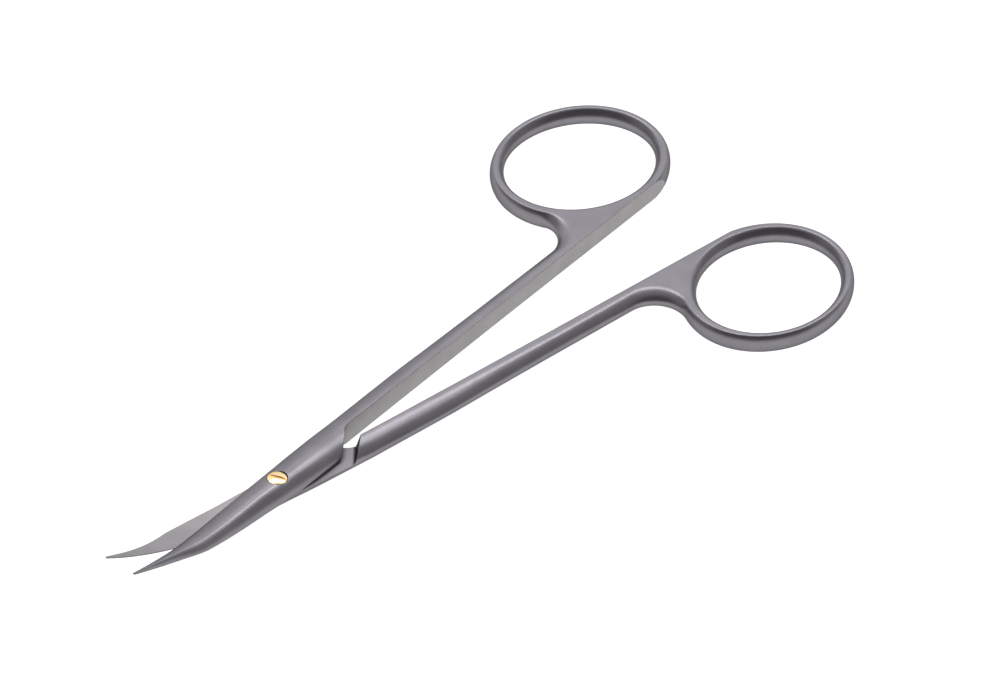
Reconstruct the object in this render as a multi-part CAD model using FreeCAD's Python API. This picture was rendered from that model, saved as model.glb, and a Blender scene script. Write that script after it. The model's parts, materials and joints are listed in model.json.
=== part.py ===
# Curved dissecting scissors: two forged halves crossed at a screw joint.
# Both halves are forged alike, mirrored, and are then milled for the lap joint.
# A half is drawn in its own frame: the screw axis is Z through the origin, X runs to
# the finger ring, the flat side of the shank is parallel to X and the ring is on +Y.
import FreeCAD, Part
import math
import os

V = FreeCAD.Vector
Z_AXIS = V(0, 0, 1)
ORIGIN = V(0, 0, 0)

# Driving dimensions, in millimetres and degrees.

# How the pair lies
REST_OPENING = 10.0            # angle between the two flat sides

# Finger ring
RING_X = 73.83                 # centre of the ring's outline, from the screw
RING_Y = 10.4                  # centre of the ring's outline, from the flat side
RING_HALF_LENGTH = 12.07
RING_HALF_WIDTH = 10.85
RING_TURN = -13.0              # turn of the outline's long axis
HOLE_X = 74.0
HOLE_Y = 10.6
HOLE_HALF_LENGTH = 10.85
HOLE_HALF_WIDTH = 9.6
HOLE_TURN = -15.9
HOLE_BULGE = 0.7               # how far the inner wall swells into the hole
RING_ROUND = 0.5               # width of the rounding beside the ring's facet

# Shank
FLAT_OFFSET = 0.15             # flat side from the screw axis, so the shanks never touch
HALF_THICKNESS = 1.35          # at the ring and the web
SHANK_WIDTH_FRONT = 2.86       # beside the joint
SHANK_WIDTH_BACK = 2.4         # before the throat
SHANK_ROUND = 1.35             # width of the rounding beside the shank's facet
SHANK_END = 60.0               # where the shank's back width is reached
THROAT_RADIUS = 4.4            # hollow between the shank and the ring
WEB_START = 46.0               # where the web's outline takes over from the shank
FACET_ANGLE = 65.0             # how far the rounding turns before it meets the facet

# Joint
CROWN = 2.05                   # mating plane to the top of the joint
PLATE_END = 12.85              # screw axis to the plate's corner on the flat side
PLATE_SLANT = 1.22             # run of the plate's end for each mm across
END_LEAN = 20.0                # lean of the plate's end and of the shoulder's wall
WALL_SLANT = 0.93              # run of the shoulder's wall for each mm across
WALL_GAP = 0.12                # corner of the plate to the foot of the shoulder, when closed
WALL_FILLET = 0.55             # radius at the foot of the shoulder
FLAT_RUN_OUT = 4.0             # radius where the flat side runs out into the plate's end
SHOULDER_END = 14.2            # screw axis to the shank, behind the shoulder
MATING_GAP = 0.04              # between the two mating surfaces
FLOOR_RADIUS = 4.95            # the mating surfaces start to rise here, towards the tips
BLADE_SWEEP = 64.3             # radius of the blades' upward curve

# Blade
BLADE_LENGTH = 29.0            # screw axis to the tip
KINK_X = 16.0                  # screw axis to the corner in the spine
KINK_SPINE = (1.56, 1.9)        # upper and lower half, which are ground to fit each other
KINK_EDGE = (2.0, 1.85)
KINK_HEIGHT = 1.2
TIP_WIDTH = 0.34
TIP_HEIGHT = 0.24

# Width of the shank between the joint and the web, as (distance from the screw, width) pairs
SHANK_WIDTHS = [(26.0, 2.92), (34.0, 2.74), (WEB_START, 2.52)]
# Half width on the edge side in front of the joint and along the plate, as (distance from
# the screw axis, width) pairs for the upper and the lower half
EDGE_WIDTHS = (
    [(-13.5, 2.27), (-11.0, 2.53), (-8.0, 2.74), (-5.0, 2.8), (0.0, 2.7), (6.0, 2.82), (10.0, 2.9)],
    [(-10.0, 2.08), (-4.0, 2.15), (0.0, 2.05), (2.0, 2.16), (6.0, 2.42), (10.0, 2.66)],
)
# Half width on the spine side in front of the joint and along the plate, as (distance from
# the screw axis, width) pairs for the upper and the lower half
SPINE_WIDTHS = (
    [(-13.0, 1.65), (-10.0, 1.75), (-5.0, 2.0), (-1.5, 2.34), (1.7, 2.55), (6.3, 2.78)],
    [(-13.0, 2.22), (-10.0, 2.4), (-5.0, 2.55), (-1.5, 2.58), (1.7, 2.62), (6.3, 2.75)],
)
# Half width on the spine side of the blade, as (share of its length, width) pairs
BLADE_SPINE_WIDTHS = (
    [(0.1, 1.37), (0.27, 0.95), (0.46, 0.6), (0.68, 0.32), (0.87, 0.16)],
    [(0.1, 1.7), (0.27, 1.16), (0.46, 0.67), (0.68, 0.33), (0.87, 0.19)],
)

# Screw
HEAD_RADIUS = 1.32
HEAD_SEAT = 1.05               # underside of the head, above the mating plane
HEAD_RIM = 1.72                # rim of the head, above the mating plane
HEAD_DOME = 0.24
HEAD_GAP = 0.06                # around the head and under it
NECK_RADIUS = 0.85
NECK_GAP = 0.05
THREAD_RADIUS = 0.8
THREAD_GAP = 0.01
SCREW_END = 1.95               # lower end of the screw, below the mating plane
SLOT_WIDTH = 0.42
SLOT_DEPTH = 0.34
SLOT_TURN = -68.5

REACH = 200.0                  # longer than anything that is cut
SAMPLES = 5                    # points on each rounded side of a section


def spline(points):
    """One smooth edge through the points, evenly parametrised."""
    curve = Part.BSplineCurve()
    steps = [i / (len(points) - 1) for i in range(len(points))]
    curve.interpolate(Points=points, Parameters=steps)
    return curve.toShape()


def line(a, b):
    return Part.LineSegment(a, b).toShape()


def sweep_height(r):
    """Height of the mating surface at a distance from the screw axis."""
    out = max(0.0, abs(r) - FLOOR_RADIUS)
    return BLADE_SWEEP - math.sqrt(BLADE_SWEEP ** 2 - out ** 2)


def side(facet, height, reach, start, stop):
    """Rounded side of a section as (offset, height) pairs, from the widest point up to
    the facet: part of an ellipse between two angles, stretched to fit."""
    pairs = []
    for i in range(SAMPLES):
        t = math.radians(start + (stop - start) * i / (SAMPLES - 1))
        a = math.radians(start)
        b = math.radians(stop)
        rise = (math.sin(t) - math.sin(a)) / (math.sin(b) - math.sin(a))
        inset = (math.cos(t) - math.cos(b)) / (math.cos(a) - math.cos(b))
        pairs.append((facet + (reach - facet) * inset, height * rise))
    return pairs


def section(x, spine, edge, height, facet, crown_y, edge_start, spine_start, stop):
    """Closed outline across a half at x: a facet on top and below, a rounded or sharp
    edge side on +Y and a rounded spine side on -Y, symmetric about the mating surface."""
    z = sweep_height(x) if x < 0 else 0.0
    right = side(facet, height, edge - crown_y, edge_start, stop)
    left = side(facet, height, spine + crown_y, spine_start, stop)
    rt = [V(x, crown_y + y, z + h) for y, h in reversed(right)]
    rb = [V(x, crown_y + y, z - h) for y, h in right]
    lb = [V(x, crown_y - y, z - h) for y, h in reversed(left)]
    lt = [V(x, crown_y - y, z + h) for y, h in left]
    edges = [line(lt[-1], rt[0]), spline(rt), spline(rb), line(rb[-1], lb[0]), spline(lb), spline(lt)]
    return Part.Wire(edges)


def shank_width(x):
    """Width of the shank from the joint to the throat."""
    return through([(SHOULDER_END, SHANK_WIDTH_FRONT)] + SHANK_WIDTHS + [(SHANK_END, SHANK_WIDTH_BACK)], x)


def ellipse_point(cx, cy, a, b, turn, t):
    p = math.radians(turn)
    return V(cx + a * math.cos(t) * math.cos(p) - b * math.sin(t) * math.sin(p),
             cy + a * math.cos(t) * math.sin(p) + b * math.sin(t) * math.cos(p), 0)


def ellipse_arc(cx, cy, z, a, b, turn, start, stop):
    """Edge along an ellipse whose angles count from the half axis a; either may be longer."""
    if a < b:
        return ellipse_arc(cx, cy, z, b, a, turn + 90, start - math.pi / 2, stop - math.pi / 2)
    p = math.radians(turn)
    major = V(cx + a * math.cos(p), cy + a * math.sin(p), z)
    minor = V(cx - b * math.sin(p), cy + b * math.cos(p), z)
    return Part.ArcOfEllipse(Part.Ellipse(major, minor, V(cx, cy, z)), start, stop).toShape()


def throat(a, b, y_line, radius):
    """Circle that touches the shank's side from outside and the ring's outline: its
    centre's x, and the ellipse angle where it touches the ring."""
    def gap(x):
        centre = V(x, y_line + radius, 0)
        best = min((ellipse_point(RING_X, RING_Y, a, b, RING_TURN, t).sub(centre).Length, t)
                   for t in [math.pi * (0.9 + 0.6 * i / 600) for i in range(601)])
        return best[0] - radius, best[1]
    low, high = WEB_START, RING_X - a
    for _ in range(40):
        middle = (low + high) / 2
        if gap(middle)[0] > 0:
            low = middle
        else:
            high = middle
    return low, gap(low)[1]


def web_outline(t):
    """Closed outline of the ring, the web and the last of the shank at one height; t is
    how far the rounding has turned from the widest point."""
    share = (1 - math.cos(t)) / (1 - math.cos(math.radians(FACET_ANGLE)))
    z = HALF_THICKNESS * math.sin(t) / math.sin(math.radians(FACET_ANGLE))
    a = RING_HALF_LENGTH - RING_ROUND * share
    b = RING_HALF_WIDTH - RING_ROUND * share
    inset = SHANK_ROUND * share
    y_back = shank_width(SHANK_END) - inset
    cx, touch = throat(a, b, y_back, THROAT_RADIUS)
    centre = V(cx, y_back + THROAT_RADIUS, z)
    on_ring = ellipse_point(RING_X, RING_Y, a, b, RING_TURN, touch)
    on_ring.z = z
    on_shank = V(cx, y_back, z)
    middle = centre + ((on_ring + on_shank) * 0.5 - centre).normalize() * THROAT_RADIUS
    p = math.radians(RING_TURN)
    lowest = math.atan2(-b * math.cos(p), -a * math.sin(p))
    bottom = ellipse_point(RING_X, RING_Y, a, b, RING_TURN, lowest)
    bottom.z = z
    start = V(WEB_START, shank_width(WEB_START) - inset, z)
    corner = V(WEB_START, -RING_Y / 2, z)
    edges = [
        line(corner, bottom),
        ellipse_arc(RING_X, RING_Y, z, a, b, RING_TURN, lowest, touch),
        Part.Arc(on_ring, middle, on_shank).toShape(),
        line(on_shank, start),
        line(start, corner),
    ]
    return Part.Wire(edges)


def web_and_ring():
    """Web and ring as a stack of outlines from the middle to the facet, doubled."""
    steps = SAMPLES - 1
    wires = [web_outline(math.radians(FACET_ANGLE) * i / steps) for i in range(SAMPLES)]
    upper = Part.makeLoft(wires, True, True)
    return upper.fuse(upper.mirror(ORIGIN, Z_AXIS)).cut(ring_hole())


def through(points, x):
    """Value at x on a smooth line through the points, which never swings past them."""
    xs = [p[0] for p in points]
    ys = [p[1] for p in points]
    if x <= xs[0]:
        return ys[0]
    if x >= xs[-1]:
        return ys[-1]
    rises = [(ys[i + 1] - ys[i]) / (xs[i + 1] - xs[i]) for i in range(len(xs) - 1)]
    slopes = [rises[0]]
    for before, after in zip(rises, rises[1:]):
        same_way = before * after > 0
        slopes.append(2 * before * after / (before + after) if same_way else 0.0)
    slopes.append(rises[-1])
    i = max(k for k in range(len(xs) - 1) if xs[k] <= x)
    span = xs[i + 1] - xs[i]
    t = (x - xs[i]) / span
    return ((1 + 2 * t) * (1 - t) ** 2 * ys[i] + t * (1 - t) ** 2 * span * slopes[i]
            + t * t * (3 - 2 * t) * ys[i + 1] + t * t * (t - 1) * span * slopes[i + 1])


def shank_and_joint(which):
    """Blank from the web to the corner in the spine, a skin through many sections."""
    spine = [(-KINK_X, KINK_SPINE[which])] + SPINE_WIDTHS[which] + [(SHOULDER_END, SHANK_WIDTH_FRONT)]
    edge = [(-KINK_X, KINK_EDGE[which])] + EDGE_WIDTHS[which] + [(SHOULDER_END, SHANK_WIDTH_FRONT)]
    height = [(-KINK_X, KINK_HEIGHT), (-10.0, 1.58), (-5.0, 1.88), (0.0, CROWN), (5.0, CROWN - 0.03),
              (SHOULDER_END, 1.64), (22.0, 1.53), (WEB_START, HALF_THICKNESS)]
    web_facet = shank_width(WEB_START) - SHANK_ROUND
    facet = [(0.0, 0.06), (6.0, 0.15), (SHOULDER_END, 0.45), (24.0, 0.8), (WEB_START, web_facet)]
    crown_y = [(-KINK_X, -0.15), (-6.0, -0.25), (0.0, -0.38), (6.0, -0.25), (SHOULDER_END, 0.0)]
    edge_start = [(-KINK_X, 42), (-10.0, 28), (0.0, 0)]
    spine_start = [(-KINK_X, 14), (0.0, 0)]
    stop = [(4.0, 90), (SHOULDER_END, 76), (24.0, FACET_ANGLE)]
    wires = []
    steps = 10
    stations = [WEB_START, 40.0, 34.0, 30.0, 26.0, 22.0, 18.0]
    stations += [SHOULDER_END - (SHOULDER_END + KINK_X) * i / steps for i in range(steps)]
    for x in stations:
        wide = shank_width(x)
        on_shank = x >= SHOULDER_END
        wires.append(section(x, wide if on_shank else through(spine, x), wide if on_shank else through(edge, x),
                             through(height, x), through(facet, x), through(crown_y, x),
                             through(edge_start, x), through(spine_start, x), through(stop, x)))
    wires.append(kink_section(which))
    return Part.makeLoft(wires, True, True)


def kink_section(which):
    return section(-KINK_X, KINK_SPINE[which], KINK_EDGE[which], KINK_HEIGHT, 0.06, -0.15, 42, 14, 90)


def blade(which):
    """Blank from the corner in the spine to the tip."""
    half = TIP_WIDTH / 2
    tip_y = 0.08
    spine = [(0.0, KINK_SPINE[which])] + BLADE_SPINE_WIDTHS[which] + [(1.0, half - tip_y)]
    edge = [(0.0, KINK_EDGE[which]), (0.27, 1.52), (0.46, 1.24), (0.68, 0.9), (0.87, 0.54), (1.0, half + tip_y)]
    height = [(0.0, KINK_HEIGHT), (0.46, 0.83), (0.8, 0.5), (1.0, TIP_HEIGHT)]
    crown_y = [(0.0, -0.15), (0.5, 0.0), (1.0, tip_y)]
    wires = [kink_section(which)]
    steps = 7
    for i in range(1, steps + 1):
        share = i / steps
        x = -KINK_X - share * (BLADE_LENGTH - KINK_X)
        wires.append(section(x, through(spine, share), through(edge, share), through(height, share),
                             0.04, through(crown_y, share), 42, 18, 90))
    return Part.makeLoft(wires, True, True)


def ring_hole():
    """Cutter for the finger hole, waisted so that the inner wall swells inwards."""
    wires = []
    steps = 8
    for i in range(steps + 1):
        z = HALF_THICKNESS * 1.2 * (2 * i / steps - 1)
        swell = HOLE_BULGE * (1 - (z / HALF_THICKNESS) ** 2)
        half_length = HOLE_HALF_LENGTH - swell
        half_width = HOLE_HALF_WIDTH - swell
        full = ellipse_arc(HOLE_X, HOLE_Y, z, half_length, half_width, HOLE_TURN, 0, 2 * math.pi)
        wires.append(Part.Wire([full]))
    return Part.makeLoft(wires, True, True)


def prism(points):
    """Upright block with the given corners in plan, taller than the scissors."""
    corners = [V(x, y, -REACH) for x, y in points]
    face = Part.Face(Part.makePolygon(corners + corners[:1]))
    return face.extrude(V(0, 0, 2 * REACH))


def flat_cutter(upward):
    """Everything beyond the plate's slanted, leaning end and the flat side of the shank,
    which runs out into that end with a wide radius. upward is the side the plate is on."""
    far = REACH / 4
    y = FLAT_OFFSET
    rise = far if upward else -far
    lean = far * math.tan(math.radians(END_LEAN)) * math.hypot(1, PLATE_SLANT)
    outlines = []
    for z, shift in ((-rise, -lean), (rise, lean)):
        x = PLATE_END + shift
        corner = V(x - PLATE_SLANT * (REACH + y), -REACH, z)
        corners = [V(x, y, z), V(2 * REACH, y, z), V(2 * REACH, -REACH, z), corner]
        outlines.append(Part.makePolygon(corners + corners[:1]))
    block = Part.makeLoft(outlines, True, True)
    for edge in block.Edges:
        if all(abs(v.Point.y - y) < 1e-6 and v.Point.x < REACH for v in edge.Vertexes):
            return block.makeFillet(FLAT_RUN_OUT, [edge])
    raise RuntimeError("no edge between the flat side and the plate's end")


def mating_cutter(upward, gap):
    """Everything under the mating surface (over it if upward), in front of the shoulder.
    The surface is turned about the screw axis, so the blades slide at every angle."""
    r_out = min(BLADE_LENGTH * 1.2, FLOOR_RADIUS + BLADE_SWEEP * 0.9)
    r_mid = (FLOOR_RADIUS + r_out) / 2
    shift = gap if not upward else -gap
    limit = REACH if upward else -REACH
    a = V(0, 0, shift)
    b = V(FLOOR_RADIUS, 0, shift)
    c = V(r_mid, 0, sweep_height(r_mid) + shift)
    d = V(r_out, 0, sweep_height(r_out) + shift)
    e = V(r_out, 0, limit)
    f = V(0, 0, limit)
    edges = [line(a, b), Part.Arc(b, c, d).toShape(), line(d, e), line(e, f), line(f, a)]
    profile = Part.Face(Part.Wire(edges))
    profile.rotate(ORIGIN, Z_AXIS, 90)
    risen = profile.revolve(ORIGIN, Z_AXIS, 180)
    low, high = sorted((shift, limit))
    level = Part.makeBox(2 * PLATE_END, 2 * PLATE_END, high - low, V(0, -PLATE_END, low))
    beside = prism([(0, -PLATE_END), (2 * PLATE_END, -PLATE_END), (2 * PLATE_END, FLAT_OFFSET), (0, FLAT_OFFSET)])
    return risen.fuse(level.common(shoulder_front(upward, shift).fuse(beside)))


def shoulder_front(upward, floor):
    """Everything in front of the shoulder: its wall leans back and meets the floor in a
    fillet. The outline is drawn square to the wall and carried along it."""
    along = V(-WALL_SLANT, 1, 0).normalize()
    square = V(1, WALL_SLANT, 0).normalize()
    foot_x = PLATE_END - 2 * FLAT_OFFSET * PLATE_SLANT + WALL_GAP
    foot = V(foot_x, FLAT_OFFSET, floor)
    up = Z_AXIS if upward else V(0, 0, -1)
    lean = math.radians(END_LEAN)
    end = foot + square * (WALL_FILLET * math.cos(lean)) + up * (WALL_FILLET * (1 - math.sin(lean)))
    half = (math.pi / 2 - lean) / 2
    middle = foot + square * (WALL_FILLET * math.sin(half)) + up * (WALL_FILLET * (1 - math.cos(half)))
    rise = 3 * CROWN
    top = end + square * (rise * math.tan(lean)) + up * rise
    front_top = top - square * REACH
    front_low = foot - square * REACH - up
    low = foot - up
    edges = [line(low, foot), Part.Arc(foot, middle, end).toShape(), line(end, top), line(top, front_top),
             line(front_top, front_low), line(front_low, low)]
    block = Part.Face(Part.Wire(edges)).extrude(along * (4 * PLATE_END))
    block.translate(along * -CROWN)
    return block


def blank(which, web):
    """One half before milling: 0 is the upper half, 1 the lower one before it is mirrored."""
    return shank_and_joint(which).fuse(blade(which)).fuse(web)


def upper_half(body):
    """Half that carries the screw head, over the mating surface in front."""
    half = body.cut(flat_cutter(True)).cut(mating_cutter(False, MATING_GAP / 2))
    bore = Part.makeCylinder(NECK_RADIUS + NECK_GAP, 4 * CROWN, V(0, 0, -2 * CROWN))
    seat = Part.makeCylinder(HEAD_RADIUS + HEAD_GAP, 2 * CROWN, V(0, 0, HEAD_SEAT))
    return half.cut(bore.fuse(seat))


def lower_half(body):
    """Half that holds the thread, mirrored, under the mating surface in front."""
    half = body.cut(flat_cutter(False)).cut(mating_cutter(True, MATING_GAP / 2))
    tapped = Part.makeCylinder(THREAD_RADIUS + THREAD_GAP, 4 * CROWN, V(0, 0, -2 * CROWN))
    return half.cut(tapped).mirror(ORIGIN, V(0, 1, 0))


def joint_screw():
    """Slotted screw: domed head, plain neck and a threaded end in the lower half."""
    r, dome = HEAD_RADIUS, HEAD_DOME
    sphere = (r * r + dome * dome) / (2 * dome)
    lean = math.asin(r / sphere) / 2
    under = HEAD_SEAT + HEAD_GAP
    on_dome = V(sphere * math.sin(lean), 0, HEAD_RIM + dome - sphere * (1 - math.cos(lean)))
    points = [
        V(0, 0, -SCREW_END),
        V(THREAD_RADIUS, 0, -SCREW_END),
        V(THREAD_RADIUS, 0, 0),
        V(NECK_RADIUS, 0, 0),
        V(NECK_RADIUS, 0, under),
        V(r, 0, under),
        V(r, 0, HEAD_RIM),
    ]
    top = V(0, 0, HEAD_RIM + dome)
    edges = [line(p, q) for p, q in zip(points, points[1:])]
    edges.append(Part.Arc(points[-1], on_dome, top).toShape())
    edges.append(line(top, points[0]))
    body = Part.Face(Part.Wire(edges)).revolve(ORIGIN, Z_AXIS, 360)
    depth = HEAD_RIM + dome - SLOT_DEPTH
    slot = Part.makeBox(4 * r, SLOT_WIDTH, 2 * CROWN, V(-2 * r, -SLOT_WIDTH / 2, depth))
    slot.rotate(ORIGIN, Z_AXIS, SLOT_TURN)
    return body.cut(slot)


def main():
    web = web_and_ring()
    parts = {
        "upper_half": upper_half(blank(0, web)).Solids[0],
        "lower_half": lower_half(blank(1, web)).Solids[0],
        "joint_screw": joint_screw().Solids[0],
    }
    parts["upper_half"].rotate(ORIGIN, Z_AXIS, REST_OPENING / 2)
    parts["lower_half"].rotate(ORIGIN, Z_AXIS, -REST_OPENING / 2)
    box = Part.makeCompound(list(parts.values())).optimalBoundingBox(False)
    shift = V(-(box.XMin + box.XMax) / 2, 0, -box.ZMin)
    os.makedirs("parts", exist_ok=True)
    for name, shape in parts.items():
        shape.translate(shift)
        shape.exportStep(os.path.join("parts", name + ".step"))
        print(name, shape.ShapeType, "solids", len(shape.Solids), "valid", shape.isValid(),
              "volume", round(shape.Volume, 3), "faces", len(shape.Faces))
    print("screw axis x", round(shift.x, 4), "mating plane z", round(shift.z, 4))
    print("length", round(box.XLength, 3), "width", round(box.YLength, 3), "height", round(box.ZLength, 3))


main()
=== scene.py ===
"""Curved dissecting scissors with a dark satin coating and a gilt screw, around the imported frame."""
import json
import math

import bmesh
import bpy
import numpy as np
from mathutils import Matrix, Vector

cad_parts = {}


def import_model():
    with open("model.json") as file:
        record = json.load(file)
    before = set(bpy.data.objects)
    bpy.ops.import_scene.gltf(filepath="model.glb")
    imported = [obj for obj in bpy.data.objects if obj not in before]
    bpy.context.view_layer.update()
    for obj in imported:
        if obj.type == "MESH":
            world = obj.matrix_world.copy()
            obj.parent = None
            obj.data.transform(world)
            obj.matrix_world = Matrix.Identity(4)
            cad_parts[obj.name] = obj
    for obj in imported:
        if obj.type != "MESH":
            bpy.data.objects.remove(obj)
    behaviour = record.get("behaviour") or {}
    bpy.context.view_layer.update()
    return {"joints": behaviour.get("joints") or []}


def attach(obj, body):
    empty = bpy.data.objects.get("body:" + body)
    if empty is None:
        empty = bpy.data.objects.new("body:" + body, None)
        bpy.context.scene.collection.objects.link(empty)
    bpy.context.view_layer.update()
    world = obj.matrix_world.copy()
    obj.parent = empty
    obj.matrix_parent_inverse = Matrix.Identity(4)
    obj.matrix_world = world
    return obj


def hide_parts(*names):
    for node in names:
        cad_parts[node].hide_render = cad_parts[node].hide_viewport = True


MM = 0.001
PHOTO_WIDTH = 1006
PHOTO_HEIGHT = 700

# The photograph's view: parallel lines stay parallel in it
VIEW_TURN = 45.69              # degrees from +Y to the line of sight, seen from above
VIEW_DROP = 40.60              # degrees below the horizon
VIEW_ROLL = 0.244              # degrees about the line of sight
PIXELS_PER_MM = 7.7816
SCREW_AT_PIXEL = (277.30, 489.29)    # where the screw axis meets the mating plane
CAMERA_DISTANCE = 0.4
CAMERA_CLIP = (0.01, 10)

# Sizes of a half in its own frame, in millimetres and degrees: the screw axis is Z, X runs to the
# ring, the flat side of the shank faces -Y, and Z is zero on the mating plane
REST_OPENING = 10.0
RING_CENTRE = (73.83, 10.4)
RING_HALF_SIZE = (12.07, 10.85)
RING_TURN = -13.0
RING_ROUND = 0.5               # the ring's outline draws in by this where the shank's does by SHANK_ROUND
HOLE_CENTRE = (74.0, 10.6)
HOLE_HALF_SIZE = (10.85, 9.6)
HOLE_TURN = -15.9
HOLE_BULGE = 0.7               # how much smaller the hole's half sizes are halfway up
HOLE_RIM = 0.16
FLAT_OFFSET = 0.15             # distance of the flat side from the screw axis
HALF_THICKNESS = 1.35
SHANK_ROUND = 1.35
SHANK_END = 60.0
SHANK_END_WIDTH = 2.4
THROAT_RADIUS = 4.4
WEB_START = 46.0
WEB_START_WIDTH = 2.52
FACET_ANGLE = 65.0
PLATE_END = 12.85
PLATE_SLANT = 1.22
END_LEAN = 20.0
WALL_SLANT = 0.93
WALL_GAP = 0.12
WALL_FILLET = 0.55
FLAT_RUN_OUT = 2.2             # radius where the flat side runs out into the plate's end
SHOULDER_END = 14.2
SHOULDER_WIDTH = 2.86
MATING_GAP = 0.04
FLOOR_RADIUS = 4.95
BLADE_SWEEP = 64.3
BLADE_LENGTH = 29.0
KINK_X = 16.0                  # the blade starts this far in front of the screw

# Half widths against the distance from the screw axis, on the shank and then in front of it on the
# edge side and on the spine side: upper half, then lower half
SHANK_WIDTHS = [(SHOULDER_END, SHOULDER_WIDTH), (26.0, 2.92), (34.0, 2.74), (WEB_START, WEB_START_WIDTH),
                (SHANK_END, SHANK_END_WIDTH)]
EDGE_WIDTHS = (
    [(-KINK_X, 2.0), (-13.5, 2.27), (-11.0, 2.53), (-8.0, 2.74), (-5.0, 2.8), (0.0, 2.7), (6.0, 2.82),
     (10.0, 2.9), (SHOULDER_END, SHOULDER_WIDTH)],
    [(-KINK_X, 1.85), (-10.0, 2.08), (-4.0, 2.15), (0.0, 2.05), (2.0, 2.16), (6.0, 2.42), (10.0, 2.66),
     (SHOULDER_END, SHOULDER_WIDTH)],
)
SPINE_WIDTHS = (
    [(-KINK_X, 1.56), (-13.0, 1.65), (-10.0, 1.75), (-5.0, 2.0), (-1.5, 2.34), (1.7, 2.55), (6.3, 2.78),
     (SHOULDER_END, SHOULDER_WIDTH)],
    [(-KINK_X, 1.9), (-13.0, 2.22), (-10.0, 2.4), (-5.0, 2.55), (-1.5, 2.58), (1.7, 2.62), (6.3, 2.75),
     (SHOULDER_END, SHOULDER_WIDTH)],
)
# The same on the blade, against the share of the way from its start to its tip
BLADE_EDGE_WIDTHS = (
    [(0.0, 2.0), (0.27, 1.52), (0.46, 1.24), (0.68, 0.9), (0.87, 0.54), (1.0, 0.25)],
    [(0.0, 1.85), (0.27, 1.52), (0.46, 1.24), (0.68, 0.9), (0.87, 0.54), (1.0, 0.25)],
)
BLADE_SPINE_WIDTHS = (
    [(0.0, 1.56), (0.1, 1.37), (0.27, 0.95), (0.46, 0.6), (0.68, 0.32), (0.87, 0.16), (1.0, 0.09)],
    [(0.0, 1.9), (0.1, 1.7), (0.27, 1.16), (0.46, 0.67), (0.68, 0.33), (0.87, 0.19), (1.0, 0.09)],
)
# Section of both halves, each as a table for the blade and one for what is behind it: height above
# the middle, half width of the facet, place of the facet's middle, and the angles between which the
# ellipse of each side is used
SECTION_HEIGHTS = (
    [(0, 1.2), (0.46, 0.83), (0.8, 0.5), (1, 0.24)],
    [(-KINK_X, 1.2), (-10, 1.58), (-5, 1.88), (0, 2.05), (5, 2.02), (SHOULDER_END, 1.64), (22, 1.53),
     (WEB_START, HALF_THICKNESS)],
)
FACET_WIDTHS = (
    [(0, 0.06), (0.14, 0.04), (1, 0.04)],
    [(0, 0.06), (6, 0.15), (SHOULDER_END, 0.45), (24, 0.8), (WEB_START, WEB_START_WIDTH - SHANK_ROUND)],
)
CROWN_PLACES = (
    [(0, -0.15), (0.5, 0), (1, 0.08)],
    [(-KINK_X, -0.15), (-6, -0.25), (0, -0.38), (6, -0.25), (SHOULDER_END, 0)],
)
EDGE_STARTS = ([(0, 42), (1, 42)], [(-KINK_X, 42), (-10, 28), (0, 0)])
SPINE_STARTS = ([(0, 14), (0.14, 18), (1, 18)], [(-KINK_X, 14), (0, 0)])
SIDE_STOPS = ([(0, 90), (1, 90)], [(4, 90), (SHOULDER_END, 76), (24, FACET_ANGLE)])

# The screw
HEAD_RADIUS = 1.32
HEAD_SEAT = 1.05
HEAD_RIM = 1.90
HEAD_DOME = 0.22
HEAD_EDGE = 0.14               # radius of the head's rounded rim
HEAD_EDGE_START = 20           # degrees from straight up at which the rim leaves the dome
HEAD_GAP = 0.06
NECK_RADIUS = 0.85
BORE_RADIUS = 0.9
THREAD_RADIUS = 0.8
THREAD_GAP = 0.01
SCREW_END = 1.95
SCREW_CHAMFER = 0.1
SLOT_WIDTH = 0.46
SLOT_DEPTH = 0.18
SLOT_TURN = -68.5

# How far the cutters reach: past the half, or past the screw head
FLAT_CUTTER_WIDTH = 95.0
FLAT_CUTTER_REACH = 8.0
MATING_CUTTER_HEIGHT = 9.0
MATING_CUTTER_WIDTH = 9.0
MATING_CUTTER_END = -31.5
LEVEL_END = 3.0                # in front of this all rows of the mating cutter share their stations
BESIDE_STEP = 0.001            # between the cutter's rows on the two sides of the wall's end
HOLE_CUTTER_HEIGHT = 2.4
BORE_REACH = 6
SLOT_CUTTER_LENGTH = 3
SLOT_CUTTER_TOP = 4.0

# Rows and stations of the surfaces
SIDE_ROWS = np.linspace(0, 0.82, 11)       # rows up the rounded side, as shares of its arc
EDGE_ROWS = np.linspace(0, 1, 8)[1:]       # rows over the worn edge between it and the facet
FACET_LEFT = 0.2               # the worn edge leaves at least this share of the facet
BLADE_STATIONS = 45
JOINT_STATIONS = 101
SHANK_STATIONS = 60
WEB_STATIONS = 61
THROAT_STATIONS = 41
RING_STATIONS = 261
BACK_STATIONS = 12
RUN_OUT_STATIONS = 25
FILLET_STATIONS = 9
CUTTER_ROWS = 37
LEVEL_STATIONS = 13
RISE_STATIONS = 111
HOLE_ROWS = 49
HOLE_STATIONS = 220
BORE_STATIONS = 96
DOME_STATIONS = 26
DOME_CENTRE_RADIUS = 0.02
HEAD_EDGE_STATIONS = 8
SCREW_STATIONS = 128
TOUCH_ANGLES = np.linspace(0.9 * math.pi, 1.5 * math.pi, 4001)   # where the throat may touch the ring
HALVINGS = 40

# How near a face lies to a surface, and how squarely it faces, to get that surface's finish
CREASE = 17.0                  # surfaces that meet at more than this angle keep their edge
NEAR_FLAT = 0.01
NEAR_GROUND = 0.02
NEAR_BORE = 0.01
NEAR_SLOT = 0.001
FACES_FLAT = 0.99
FACES_GROUND = 0.8

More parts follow.
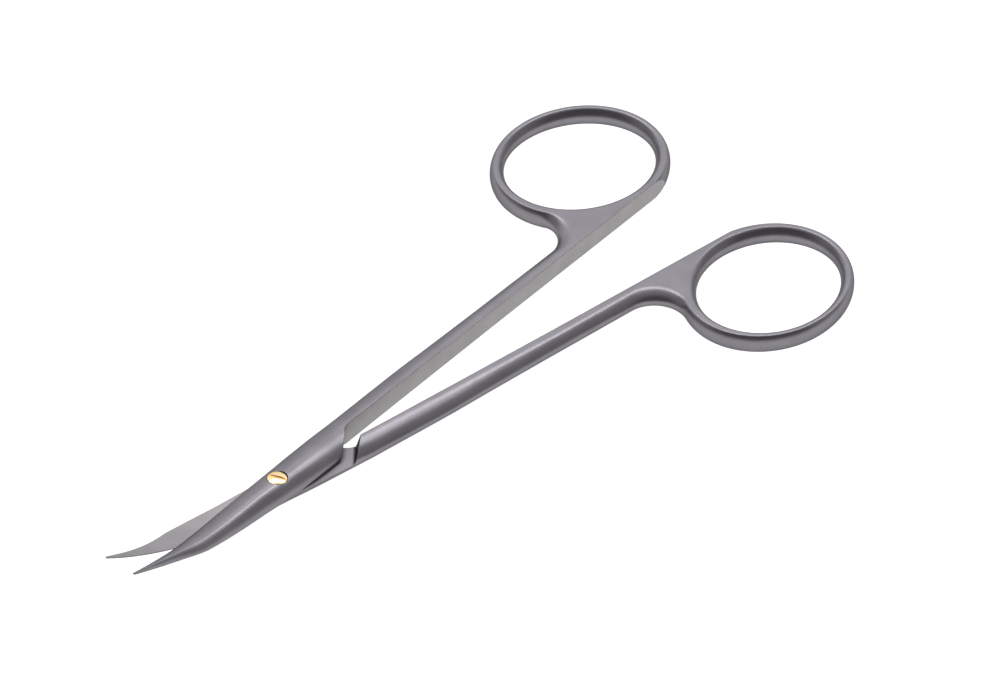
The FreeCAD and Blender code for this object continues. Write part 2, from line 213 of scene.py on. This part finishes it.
# Tint, shade, mean roughness, scale of the grain, scale of the clouds, and millimetres of softened edge
FINISHES = {
    "coated_steel": ((0.238, 0.228, 0.247), (0.208, 0.199, 0.217), 0.35, 9000, 260, 0.14),
    "matte_flat": ((0.40, 0.39, 0.393), (0.365, 0.355, 0.359), 0.5, 12000, 400, 0.14),
    "ground_face": ((0.31, 0.30, 0.306), (0.28, 0.271, 0.277), 0.42, 7000, 300, 0.05),
    "gilt": ((0.88, 0.72, 0.42), (0.86, 0.66, 0.34), 0.13, 9000, 900, 0.04),
    # The slot's gilt below is a lighter, more orange copy of the gilt: painted light in the shaded slot
    "gilt_slot_painted_light": ((0.95, 0.62, 0.22), (0.92, 0.56, 0.18), 0.5, 9000, 900, 0.04),
}
EDGE_TINT = (0.4, 0.4, 0.4, 1)
CLOUD_DETAIL = 4
CLOUD_SHADE_AT = 0.32
CLOUD_TINT_AT = 0.68
GRAIN_STRETCH = (0.12, 1, 1)
GRAIN_DETAIL = 3
GRAIN_GLOSS = 0.05             # roughness to either side of the mean
GRAIN_BUMP = 0.03
GRAIN_DEPTH = 0.00002
SOFT_SAMPLES = 8
UPWARD = (0.08, 0.4)           # upward part of the normal over which the painted shade line fades in
PAINTED_SHADE_SCALE = (1.0, 0.3)          # what the painted shade scales the colour by
# Lowered metallic of the slot's gilt, so that it shows diffuse painted light
PAINTED_LIGHT_SLOT_METALLIC = 0.5

# World: places along the ramp and their brightness, and the tint of it all
WORLD_STOPS = [(0.0, 0.16), (0.22, 0.16), (0.40, 0.50), (0.62, 0.46), (0.80, 1.25), (1.0, 1.15)]
WORLD_TINT = (1, 0.985, 1.02)
PANEL_PLACE = (0.165, 0.161, 0.444)
PANEL_SIZE = (0.50, 0.11)
PANEL_POWER = 0.78
FLOOR_HALF_SIZE = 2.0
FLOOR_COLOUR = (0.3, 0.3, 0.3, 1)
FLOOR_ROUGHNESS = 0.8
FLOOR_GLOW = 0.95


def smooth_through(points, x):
    """Smooth line through the points: a cubic on each span, whose slope at a point is the harmonic
    mean of the rises on its two sides, or zero where the line turns."""
    xs, ys = np.array(points, dtype=float).T
    rises = np.diff(ys) / np.diff(xs)
    before, after = rises[:-1], rises[1:]
    same = before * after > 0
    inner = np.where(same, 2 * before * after / np.where(same, before + after, 1.0), 0.0)
    slopes = np.concatenate([rises[:1], inner, rises[-1:]])
    x = np.clip(x, xs[0], xs[-1])
    i = np.clip(np.searchsorted(xs, x, side="right") - 1, 0, len(xs) - 2)
    span = xs[i + 1] - xs[i]
    t = (x - xs[i]) / span
    return ((1 + 2 * t) * (1 - t) ** 2 * ys[i] + t * (1 - t) ** 2 * span * slopes[i]
            + t * t * (3 - 2 * t) * ys[i + 1] + t * t * (t - 1) * span * slopes[i + 1])


def blade_rise(r):
    """Height of the mating surface at a distance r from the screw: level near it, then part of a circle."""
    out = np.clip(np.abs(r) - FLOOR_RADIUS, 0.0, BLADE_SWEEP)
    return BLADE_SWEEP - np.sqrt(BLADE_SWEEP ** 2 - out ** 2)


def worn_edge(y, z, top, limit):
    """Rows of a side whose last row is carried over into the facet at height top: a quadratic curve
    from that row to the facet, whose middle point is where the side's tangent meets the facet."""
    dy, dz = y[-1] - y[-2], z[-1] - z[-2]
    y_mid = y[-1] + dy * (top - z[-1]) / dz
    reach = np.hypot(y_mid - y[-1], top - z[-1])
    y_end = np.maximum(y_mid - reach, limit)
    s = EDGE_ROWS[:, None]
    over_y = (1 - s) ** 2 * y[-1] + 2 * s * (1 - s) * y_mid + s * s * y_end
    over_z = (1 - s) ** 2 * z[-1] + (1 - (1 - s) ** 2) * top
    return np.vstack([y, over_y]), np.vstack([z, over_z])


def rounded_side(facet, height, reach, start, stop):
    """Rounded side of a section: part of an ellipse between two angles, stretched to run from the
    widest point to the facet. Returns the offsets and the heights above the middle, row by row."""
    a, b = np.radians(start), np.radians(stop)
    t = a + (b - a) * SIDE_ROWS[:, None]
    rise = (np.sin(t) - np.sin(a)) / (np.sin(b) - np.sin(a))
    inset = (np.cos(t) - np.cos(b)) / (np.cos(a) - np.cos(b))
    return worn_edge(facet + (reach - facet) * inset, height * rise, height, FACET_LEFT * facet)


def front_sides(which, x):
    """Edge side and spine side of a half at stations x in front of the web, from the widest row up."""
    share = np.clip((-x - KINK_X) / (BLADE_LENGTH - KINK_X), 0, 1)
    blade = x < -KINK_X
    shank = x > SHOULDER_END

    def along(front, rear):
        return np.where(blade, smooth_through(front, share), smooth_through(rear, x))

    wide = smooth_through(SHANK_WIDTHS, x)
    edge = np.where(shank, wide, along(BLADE_EDGE_WIDTHS[which], EDGE_WIDTHS[which]))
    spine = np.where(shank, wide, along(BLADE_SPINE_WIDTHS[which], SPINE_WIDTHS[which]))
    height = along(*SECTION_HEIGHTS)
    facet = along(*FACET_WIDTHS)
    crown = along(*CROWN_PLACES)
    stop = along(*SIDE_STOPS)
    y_edge, z_edge = rounded_side(facet, height, edge - crown, along(*EDGE_STARTS), stop)
    y_spine, z_spine = rounded_side(facet, height, spine + crown, along(*SPINE_STARTS), stop)
    return crown + y_edge, z_edge, crown - y_spine, z_spine


def oval(centre, size, turn, t):
    """Points of a turned ellipse at the angles t."""
    p = math.radians(turn)
    x = centre[0] + size[0] * np.cos(t) * math.cos(p) - size[1] * np.sin(t) * math.sin(p)
    y = centre[1] + size[0] * np.cos(t) * math.sin(p) + size[1] * np.sin(t) * math.cos(p)
    return x, y


def rear_outline(share):
    """Outline from the end of the front part round the throat and the ring and back to the spine
    side; share is how much of the rounding's width it is drawn in by. The throat is a circle beside
    the shank, moved along it by halving until it just touches the ring's ellipse."""
    size = (RING_HALF_SIZE[0] - RING_ROUND * share, RING_HALF_SIZE[1] - RING_ROUND * share)
    inset = SHANK_ROUND * share
    y_front, y_back = WEB_START_WIDTH - inset, SHANK_END_WIDTH - inset
    ring_x, ring_y = oval(RING_CENTRE, size, RING_TURN, TOUCH_ANGLES)
    cy = y_back + THROAT_RADIUS
    low, high = WEB_START, RING_CENTRE[0] - size[0]
    for _ in range(HALVINGS):
        cx = (low + high) / 2
        if np.hypot(ring_x - cx, ring_y - cy).min() > THROAT_RADIUS:
            low = cx
        else:
            high = cx
    nearest = np.hypot(ring_x - cx, ring_y - cy).argmin()
    touch = TOUCH_ANGLES[nearest]
    end = math.atan2(ring_y[nearest] - cy, ring_x[nearest] - cx)
    f = np.linspace(0, 1, WEB_STATIONS)[1:]
    shank = WEB_START + (cx - WEB_START) * f, y_front + (y_back - y_front) * f
    a = np.linspace(-math.pi / 2, end, THROAT_STATIONS)[1:]
    throat = cx + THROAT_RADIUS * np.cos(a), cy + THROAT_RADIUS * np.sin(a)
    p = math.radians(RING_TURN)
    lowest = math.atan2(-size[1] * math.cos(p), -size[0] * math.sin(p))
    ring = oval(RING_CENTRE, size, RING_TURN, np.linspace(touch, lowest, RING_STATIONS)[1:])
    g = np.linspace(0, 1, BACK_STATIONS)[1:-1]
    back = ring[0][-1] + (WEB_START - ring[0][-1]) * g, ring[1][-1] + (-y_front - ring[1][-1]) * g
    return [np.concatenate(part) for part in zip(shank, throat, ring, back)]


def forged_blank(which):
    """One half before milling, as one closed skin: the outline of the whole half, from the tip along
    the edge side, round the ring and back along the spine side, repeated at every level."""
    x = np.concatenate([np.linspace(-BLADE_LENGTH, -KINK_X, BLADE_STATIONS)[:-1],
                        np.linspace(-KINK_X, SHOULDER_END, JOINT_STATIONS)[:-1],
                        np.linspace(SHOULDER_END, WEB_START, SHANK_STATIONS)])
    y_edge, z_edge, y_spine, z_spine = front_sides(which, x)
    middle = np.where(x < 0, blade_rise(x), 0.0)
    turn = np.radians(FACET_ANGLE) * SIDE_ROWS[:, None]
    inward = SHANK_ROUND * (1 - np.cos(turn)) / (1 - math.cos(math.radians(FACET_ANGLE)))
    rise = HALF_THICKNESS * np.sin(turn) / math.sin(math.radians(FACET_ANGLE))
    inward, rear_z = worn_edge(-inward, rise, HALF_THICKNESS, -2 * SHANK_ROUND)
    rear = np.array([rear_outline(-v / SHANK_ROUND) for v in inward[:, 0]])
    order = np.concatenate([np.arange(len(rear) - 1, 0, -1), np.arange(len(rear))])
    sign = np.where(np.arange(len(order)) < len(rear) - 1, -1, 1)[:, None]
    y_edge, z_edge, y_spine, z_spine = y_edge[order], z_edge[order], y_spine[order], z_spine[order]
    rear, rear_z = rear[order], sign * rear_z[order]
    flat_x = np.broadcast_to(x, y_edge.shape)
    px = np.concatenate([flat_x, rear[:, 0], flat_x[:, ::-1]], axis=1)
    py = np.concatenate([y_edge, rear[:, 1], y_spine[:, ::-1]], axis=1)
    pz = np.concatenate([middle + sign * z_edge, rear_z * np.ones_like(rear[:, 0]),
                         (middle + sign * z_spine)[:, ::-1]], axis=1)
    index, sides = bands(*px.shape)
    ends = (index[0], index[-1])
    m = px.shape[1]
    i = np.arange(len(x) - 1)
    caps = [np.stack([row[i], row[i + 1], row[m - 2 - i], row[m - 1 - i]], axis=-1).tolist() for row in ends]
    webs = [row[len(x) - 1:m - len(x) + 1].tolist() for row in ends]
    return mesh_object("blank", np.stack([px, py, pz], axis=-1).reshape(-1, 3), sides + caps[0] + caps[1] + webs)


def bands(n, m):
    """Numbers of the points of n closed loops of m points, and the four-sided faces between the loops."""
    index = np.arange(n * m).reshape(n, m)
    after = np.roll(index, -1, axis=1)
    sides = np.stack([index[:-1], after[:-1], after[1:], index[1:]], axis=-1).reshape(-1, 4)
    return index, sides.tolist()


def mesh_object(name, points, faces):
    """Mesh object from arrays, with its faces turned outwards."""
    mesh = bpy.data.meshes.new(name)
    mesh.from_pydata(np.asarray(points).tolist(), [], faces)
    bm = bmesh.new()
    bm.from_mesh(mesh)
    bmesh.ops.recalc_face_normals(bm, faces=bm.faces)
    bm.to_mesh(mesh)
    bm.free()
    return in_scene(name, mesh)


def in_scene(name, data):
    """Object with the given data, linked to the scene."""
    made = bpy.data.objects.new(name, data)
    bpy.context.scene.collection.objects.link(made)
    return made


def tube(name, loops):
    """Closed solid from a stack of loops, given as an array of loops by points by coordinates."""
    index, sides = bands(*loops.shape[:2])
    return mesh_object(name, loops.reshape(-1, 3), sides + [index[0].tolist(), index[-1].tolist()])


def turned(name, radii, heights, steps):
    """Solid of revolution: each pair of radius and height becomes a circle; the first and the last
    radius are closed by a flat face."""
    a = np.linspace(0, 2 * math.pi, steps, endpoint=False)
    r, z = np.array(radii)[:, None], np.array(heights)[:, None]
    return tube(name, np.stack([r * np.cos(a), r * np.sin(a), z + 0 * a], axis=-1))


def flat_cutter(up):
    """Beyond the plate's end and the flat side: a corner rounded by a circle, carried along the
    leaning line where the two planes meet. up is 1 with the plate above the mating plane, else -1."""
    lean = math.tan(math.radians(END_LEAN)) * math.hypot(1, PLATE_SLANT)
    path = np.array([lean, 0, up]) / math.hypot(lean, 1)
    corner = np.array([PLATE_END, FLAT_OFFSET, 0.0])

    def square_to_path(v):
        v = v - v @ path * path
        return v / np.linalg.norm(v)

    flat = square_to_path(np.array([1.0, 0, 0]))
    end = square_to_path(np.array([-PLATE_SLANT, -1.0, 0]))
    angle = math.acos(flat @ end)
    between = (flat + end) / np.linalg.norm(flat + end)
    centre = corner + between * FLAT_RUN_OUT / math.sin(angle / 2)
    first = corner + flat * FLAT_RUN_OUT / math.tan(angle / 2) - centre
    last = corner + end * FLAT_RUN_OUT / math.tan(angle / 2) - centre
    across = last - last @ first / FLAT_RUN_OUT ** 2 * first
    across *= FLAT_RUN_OUT / np.linalg.norm(across)
    a = np.linspace(0, math.pi - angle, RUN_OUT_STATIONS)[:, None]
    arc = centre + np.cos(a) * first + np.sin(a) * across
    far = FLAT_CUTTER_WIDTH
    profile = np.vstack([corner + flat * far, arc, corner + end * far, corner + (flat + end) * far])
    profile -= profile[:, 2:] / path[2] * path
    steps = np.array([-FLAT_CUTTER_REACH, FLAT_CUTTER_REACH])[:, None, None]
    return tube("flat_cutter", profile[None] + steps * path)


def mating_cutter(up):
    """What is milled off at the joint: the level floor that rises towards the tip as a circle turned
    about the screw axis, and at its rear the shoulder's wall, which leans back from a fillet. Beside
    the shoulder the cutter goes on to the rear and takes off the run-out beyond the mating plane."""
    level = up * MATING_GAP / 2
    lean = math.radians(END_LEAN)
    foot_x = PLATE_END - 2 * FLAT_OFFSET * PLATE_SLANT + WALL_GAP
    a = np.linspace(0, math.pi / 2 - lean, FILLET_STATIONS)
    fillet_s, fillet_z = WALL_FILLET * np.sin(a), WALL_FILLET * (1 - np.cos(a))
    wall_s = np.concatenate([[fillet_s[-1] + MATING_CUTTER_HEIGHT * math.tan(lean)], fillet_s[::-1]])
    wall_z = np.concatenate([[fillet_z[-1] + MATING_CUTTER_HEIGHT], fillet_z[::-1]])
    y = np.concatenate([np.linspace(-MATING_CUTTER_WIDTH, FLAT_OFFSET, CUTTER_ROWS),
                        np.linspace(FLAT_OFFSET + BESIDE_STEP, MATING_CUTTER_WIDTH, CUTTER_ROWS)])[:, None]
    foot = np.where(y > FLAT_OFFSET, foot_x - WALL_SLANT * (y - FLAT_OFFSET), 2 * PLATE_END)
    wall_x = foot + wall_s * math.hypot(1, WALL_SLANT)
    level_x = foot + (LEVEL_END - foot) * np.linspace(0, 1, LEVEL_STATIONS)[1:]
    front_x = np.linspace(LEVEL_END, MATING_CUTTER_END, RISE_STATIONS)[1:]
    floor_x = np.concatenate([level_x, front_x + 0 * y], axis=1)
    floor_z = level + np.where(floor_x < 0, blade_rise(np.hypot(floor_x, y)), 0.0)
    low = level - up * wall_z[0]
    x = np.concatenate([wall_x, floor_x, floor_x[:, -1:]], axis=1)
    z = np.concatenate([level - up * wall_z + 0 * y, floor_z, low + 0 * y], axis=1)
    return tube("mating_cutter", np.stack([x, y + 0 * x, z], axis=-1))


def hole_cutter():
    """Finger hole: an ellipse at each height, narrowest in the middle, with a rounded rim."""
    z = np.concatenate([[-HOLE_CUTTER_HEIGHT], np.linspace(-HALF_THICKNESS, HALF_THICKNESS, HOLE_ROWS),
                        [HOLE_CUTTER_HEIGHT]])
    swell = HOLE_BULGE * (1 - (z / HALF_THICKNESS) ** 2)
    near_rim = np.clip((np.abs(z) - HALF_THICKNESS + HOLE_RIM) / HOLE_RIM, 0, 1)
    grow = HOLE_RIM * (1 - np.sqrt(1 - near_rim ** 2)) - swell
    t = np.linspace(0, 2 * math.pi, HOLE_STATIONS, endpoint=False)
    sizes = (HOLE_HALF_SIZE[0] + grow[:, None], HOLE_HALF_SIZE[1] + grow[:, None])
    x, y = oval(HOLE_CENTRE, sizes, HOLE_TURN, t[None])
    return tube("hole_cutter", np.stack([x, y, z[:, None] + 0 * x], axis=-1))


def milled(piece, cutters):
    """The piece with the cutters taken away, as a plain mesh."""
    for cutter in cutters:
        step = piece.modifiers.new("mill", "BOOLEAN")
        step.operation = "DIFFERENCE"
        step.solver = "EXACT"
        step.object = cutter
    shape = bpy.data.meshes.new_from_object(piece.evaluated_get(bpy.context.evaluated_depsgraph_get()))
    for used in [piece] + cutters:
        bpy.data.objects.remove(used)
    return shape


def face_values(mesh, what):
    """Centre or normal of every face, one row each."""
    values = np.empty(len(mesh.polygons) * 3)
    mesh.polygons.foreach_get(what, values)
    return values.reshape(-1, 3)


def give_finishes(mesh, finishes, numbers):
    """The mesh gets the finishes, and each face the one with its number."""
    mesh.materials.clear()
    for finish in finishes:
        mesh.materials.append(finish)
    mesh.polygons.foreach_set("material_index", numbers)


def placed(mesh, node, body, hinge, turn, mirrored):
    """The finished mesh, mirrored, turned about the screw and moved to the hinge."""
    matrix = Matrix.Translation(hinge) @ Matrix.Rotation(math.radians(turn), 4, "Z") @ Matrix.Scale(MM, 4)
    if mirrored:
        matrix = matrix @ Matrix.Diagonal((1, -1, 1, 1))
    mesh.transform(matrix)
    if mirrored:
        mesh.flip_normals()
    mesh.shade_smooth()
    mesh.set_sharp_from_angle(angle=math.radians(CREASE))
    mesh.name = node + "_finished"
    piece = in_scene(node + "_finished", mesh)
    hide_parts(node)
    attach(piece, body)


def half_finishes(mesh, up):
    """Finish of each face: 1 on the flat side, 2 on the mating surface up to the head's radius behind the screw
    axis and in the bores, else 0.
    """
    c, n = face_values(mesh, "center"), face_values(mesh, "normal")
    on_flat = (np.abs(c[:, 1] - FLAT_OFFSET) < NEAR_FLAT) & (n[:, 1] < -FACES_FLAT)
    from_screw = np.hypot(c[:, 0], c[:, 1])
    ground = up * MATING_GAP / 2 + np.where(c[:, 0] < 0, blade_rise(from_screw), 0.0)
    # Further back the mating floor keeps the darker coat as painted shade, standing in for the shaded flat side
    # mirrored in it
    on_ground = (np.abs(c[:, 2] - ground) < NEAR_GROUND) & (n[:, 2] * up < -FACES_GROUND) & (c[:, 0] < HEAD_RADIUS)
    in_bore = from_screw < HEAD_RADIUS + HEAD_GAP + NEAR_BORE
    return np.where(on_flat, 1, np.where(on_ground | in_bore, 2, 0))


def half(which, node, body, hinge, finishes):
    """Upper half (0) or lower half (1): the blank, milled, with its finishes."""
    up = 1 if which == 0 else -1
    if which == 0:
        seat = HEAD_RADIUS + HEAD_GAP
        radii, heights = [BORE_RADIUS, BORE_RADIUS, seat, seat], [-BORE_REACH, HEAD_SEAT, HEAD_SEAT, BORE_REACH]
    else:
        radii, heights = [THREAD_RADIUS + THREAD_GAP] * 2, [-BORE_REACH, BORE_REACH]
    bore = turned("bore", radii, heights, BORE_STATIONS)
    mesh = milled(forged_blank(which), [flat_cutter(up), mating_cutter(up), hole_cutter(), bore])
    give_finishes(mesh, finishes, half_finishes(mesh, up))
    placed(mesh, node, body, hinge, up * REST_OPENING / 2, which == 1)


def joint_screw(hinge, finishes):
    """Slotted screw: a dome that is part of a sphere, a rounded rim, a plain neck and its end."""
    sphere = (HEAD_RADIUS ** 2 + HEAD_DOME ** 2) / (2 * HEAD_DOME)
    out = np.linspace(DOME_CENTRE_RADIUS, HEAD_RADIUS - HEAD_EDGE, DOME_STATIONS)
    top = HEAD_RIM + HEAD_DOME
    dome = top - sphere + np.sqrt(sphere ** 2 - out ** 2)
    a = np.linspace(math.radians(HEAD_EDGE_START), math.pi / 2, HEAD_EDGE_STATIONS)
    edge_r = HEAD_RADIUS - HEAD_EDGE + HEAD_EDGE * np.sin(a)
    edge_z = dome[-1] - HEAD_EDGE + HEAD_EDGE * np.cos(a)
    radii = np.concatenate([out, edge_r, [HEAD_RADIUS, NECK_RADIUS, NECK_RADIUS, THREAD_RADIUS, THREAD_RADIUS,
                                          THREAD_RADIUS - SCREW_CHAMFER]])
    under = HEAD_SEAT + HEAD_GAP
    heights = np.concatenate([dome, edge_z, [under, under, 0, 0, SCREW_CHAMFER - SCREW_END, -SCREW_END]])
    body = turned("screw_body", radii, heights, SCREW_STATIONS)
    bottom = top - SLOT_DEPTH
    w = SLOT_WIDTH / 2
    s = SLOT_CUTTER_LENGTH
    t = math.radians(SLOT_TURN)
    turn = np.array([[math.cos(t), math.sin(t)], [-math.sin(t), math.cos(t)]])
    corners = np.array([[-s, -w], [s, -w], [s, w], [-s, w]]) @ turn
    loops = np.stack([np.column_stack([corners, np.full(4, z)]) for z in (bottom, SLOT_CUTTER_TOP)])
    mesh = milled(body, [tube("slot", loops)])
    c = face_values(mesh, "center")
    across = np.abs(c[:, 0] * math.sin(t) - c[:, 1] * math.cos(t))
    in_slot = (across < w + NEAR_SLOT) & (c[:, 2] > bottom - NEAR_SLOT) & (c[:, 2] < top)
    # Faces in the slot get the second finish, a lighter copy of the gilt as painted light
    give_finishes(mesh, finishes, np.where(in_slot, 1, 0))
    placed(mesh, "joint_screw", "lower_half_body", hinge, 0, False)


def add_node(tree, kind, **values):
    """New shader node with some of its sockets set; a name has an underscore for each space."""
    made = tree.nodes.new(kind)
    for socket, value in values.items():
        made.inputs[socket.replace("_", " ")].default_value = value
    return made


def metal(name):
    """Satin metal: cloudy tint between two colours, grain drawn out along the shank, softened edges."""
    tint, shade, roughness, grain, cloud, edge = FINISHES[name]
    mat = bpy.data.materials.new(name)
    mat.use_nodes = True
    tree = mat.node_tree
    links = tree.links
    bsdf = tree.nodes["Principled BSDF"]
    bsdf.inputs["Metallic"].default_value = 1.0
    bsdf.inputs["Specular Tint"].default_value = EDGE_TINT
    place = add_node(tree, "ShaderNodeTexCoord")
    clouds = add_node(tree, "ShaderNodeTexNoise", Scale=cloud, Detail=CLOUD_DETAIL)
    links.new(place.outputs["Object"], clouds.inputs["Vector"])
    colour = add_node(tree, "ShaderNodeValToRGB")
    colour.color_ramp.elements[0].position = CLOUD_SHADE_AT
    colour.color_ramp.elements[0].color = (*shade, 1)
    colour.color_ramp.elements[1].position = CLOUD_TINT_AT
    colour.color_ramp.elements[1].color = (*tint, 1)
    links.new(clouds.outputs["Fac"], colour.inputs["Fac"])
    links.new(colour.outputs["Color"], bsdf.inputs["Base Color"])
    stretch = add_node(tree, "ShaderNodeMapping", Scale=GRAIN_STRETCH)
    links.new(place.outputs["Object"], stretch.inputs["Vector"])
    lines = add_node(tree, "ShaderNodeTexNoise", Scale=grain, Detail=GRAIN_DETAIL)
    links.new(stretch.outputs["Vector"], lines.inputs["Vector"])
    gloss = add_node(tree, "ShaderNodeMapRange", To_Min=roughness - GRAIN_GLOSS, To_Max=roughness + GRAIN_GLOSS)
    links.new(lines.outputs["Fac"], gloss.inputs["Value"])
    links.new(gloss.outputs["Result"], bsdf.inputs["Roughness"])
    soft = add_node(tree, "ShaderNodeBevel", Radius=edge * MM)
    soft.samples = SOFT_SAMPLES
    bump = add_node(tree, "ShaderNodeBump", Strength=GRAIN_BUMP, Distance=GRAIN_DEPTH)
    links.new(lines.outputs["Fac"], bump.inputs["Height"])
    links.new(soft.outputs["Normal"], bump.inputs["Normal"])
    links.new(bump.outputs["Normal"], bsdf.inputs["Normal"])
    return mat


def painted_shade_upper_edge(mat):
    """Painted shade: a darker line painted where the matte face turns over into the facet above it;
    the colour is scaled down as the softened normal starts to point upwards."""
    tree = mat.node_tree
    soft = next(node for node in tree.nodes if node.type == "BEVEL")
    parts = add_node(tree, "ShaderNodeSeparateXYZ")
    tree.links.new(soft.outputs["Normal"], parts.inputs["Vector"])
    share = add_node(tree, "ShaderNodeMapRange", From_Min=UPWARD[0], From_Max=UPWARD[1],
                     To_Min=PAINTED_SHADE_SCALE[0], To_Max=PAINTED_SHADE_SCALE[1])
    tree.links.new(parts.outputs["Z"], share.inputs["Value"])
    colour = next(node for node in tree.nodes if node.type == "VALTORGB")
    scaled = add_node(tree, "ShaderNodeVectorMath")
    scaled.operation = "SCALE"
    tree.links.new(colour.outputs["Color"], scaled.inputs["Vector"])
    tree.links.new(share.outputs["Result"], scaled.inputs["Scale"])
    tree.links.new(scaled.outputs["Vector"], tree.nodes["Principled BSDF"].inputs["Base Color"])


def camera(hinge):
    """Camera with parallel lines on the photograph's line of sight, moved sideways until the screw
    axis meets the mating plane at its pixel of the photograph."""
    turn, drop, roll = (math.radians(a) for a in (VIEW_TURN, VIEW_DROP, VIEW_ROLL))
    right = Vector((math.cos(turn), -math.sin(turn), 0))
    sight = Vector((math.cos(drop) * math.sin(turn), math.cos(drop) * math.cos(turn), -math.sin(drop)))
    up = right.cross(sight)
    screen_right = math.cos(roll) * right + math.sin(roll) * up
    screen_up = math.cos(roll) * up - math.sin(roll) * right
    scale = PIXELS_PER_MM / MM
    place = hinge - screen_right * ((SCREW_AT_PIXEL[0] - PHOTO_WIDTH / 2) / scale)
    place -= screen_up * ((PHOTO_HEIGHT / 2 - SCREW_AT_PIXEL[1]) / scale)
    place -= sight * CAMERA_DISTANCE
    data = bpy.data.cameras.new("camera")
    data.type = "ORTHO"
    data.ortho_scale = PHOTO_WIDTH / scale
    data.clip_start, data.clip_end = CAMERA_CLIP
    cam = bpy.data.objects.new("camera", data)
    matrix = Matrix((screen_right, screen_up, -sight)).transposed().to_4x4()
    matrix.translation = place
    cam.matrix_world = matrix
    bpy.context.scene.collection.objects.link(cam)
    bpy.context.scene.camera = cam


def panel():
    """One soft rectangular light that faces the origin."""
    data = bpy.data.lights.new("panel", "AREA")
    data.shape = "RECTANGLE"
    data.size, data.size_y = PANEL_SIZE
    data.energy = PANEL_POWER
    lamp = in_scene("panel", data)
    lamp.location = PANEL_PLACE
    lamp.rotation_euler = (Vector((0, 0, 0)) - Vector(PANEL_PLACE)).to_track_quat("-Z", "Y").to_euler()


def studio():
    """Light tent: the world's brightness follows the cosine of the angle to the horizontal line of
    sight, dark behind the camera, medium overhead and bright beyond, with one soft panel high up there."""
    world = bpy.data.worlds.new("studio")
    world.use_nodes = True
    tree = world.node_tree
    place = add_node(tree, "ShaderNodeTexCoord")
    beyond = add_node(tree, "ShaderNodeVectorMath")
    beyond.operation = "DOT_PRODUCT"
    turn = math.radians(VIEW_TURN)
    beyond.inputs[1].default_value = (math.sin(turn), math.cos(turn), 0)
    share = add_node(tree, "ShaderNodeMapRange", From_Min=-1)
    ramp = add_node(tree, "ShaderNodeValToRGB")
    ramp.color_ramp.interpolation = "EASE"
    while len(ramp.color_ramp.elements) < len(WORLD_STOPS):
        ramp.color_ramp.elements.new(0.5)
    for element, (position, level) in zip(ramp.color_ramp.elements, WORLD_STOPS):
        element.position = position
        element.color = (*(part * level for part in WORLD_TINT), 1)
    tree.links.new(place.outputs["Generated"], beyond.inputs[0])
    tree.links.new(beyond.outputs["Value"], share.inputs["Value"])
    tree.links.new(share.outputs["Result"], ramp.inputs["Fac"])
    tree.links.new(ramp.outputs["Color"], tree.nodes["Background"].inputs["Color"])
    bpy.context.scene.world = world
    panel()


def floor():
    """Level square under the part, pale and slightly shining."""
    mesh = bpy.data.meshes.new("floor")
    s = FLOOR_HALF_SIZE
    mesh.from_pydata([(-s, -s, 0), (s, -s, 0), (s, s, 0), (-s, s, 0)], [], [(0, 1, 2, 3)])
    obj = in_scene("floor", mesh)
    mat = bpy.data.materials.new("floor")
    mat.use_nodes = True
    bsdf = mat.node_tree.nodes["Principled BSDF"]
    bsdf.inputs["Base Color"].default_value = FLOOR_COLOUR
    bsdf.inputs["Roughness"].default_value = FLOOR_ROUGHNESS
    bsdf.inputs["Emission Color"].default_value = (1, 1, 1, 1)
    bsdf.inputs["Emission Strength"].default_value = FLOOR_GLOW
    mesh.materials.append(mat)


def main():
    """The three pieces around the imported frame, then the light, the floor and the camera."""
    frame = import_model()
    hinge = Vector(frame["joints"][0]["pos_m"])
    coat = metal("coated_steel")
    flat = metal("matte_flat")
    # The matte face gets a painted shade line along its upper edge
    painted_shade_upper_edge(flat)
    ground = metal("ground_face")
    gilt = metal("gilt")
    half(0, "upper_half", "upper_half_body", hinge, (coat, flat, ground))
    half(1, "lower_half", "lower_half_body", hinge, (coat, flat, ground))
    # A lighter, less metallic copy of the gilt for the slot: painted light in its shade
    slot = metal("gilt_slot_painted_light")
    slot.node_tree.nodes["Principled BSDF"].inputs["Metallic"].default_value = PAINTED_LIGHT_SLOT_METALLIC
    joint_screw(hinge, (gilt, slot))
    bpy.context.scene.view_settings.view_transform = "Standard"
    studio()
    floor()
    camera(hinge)


main()
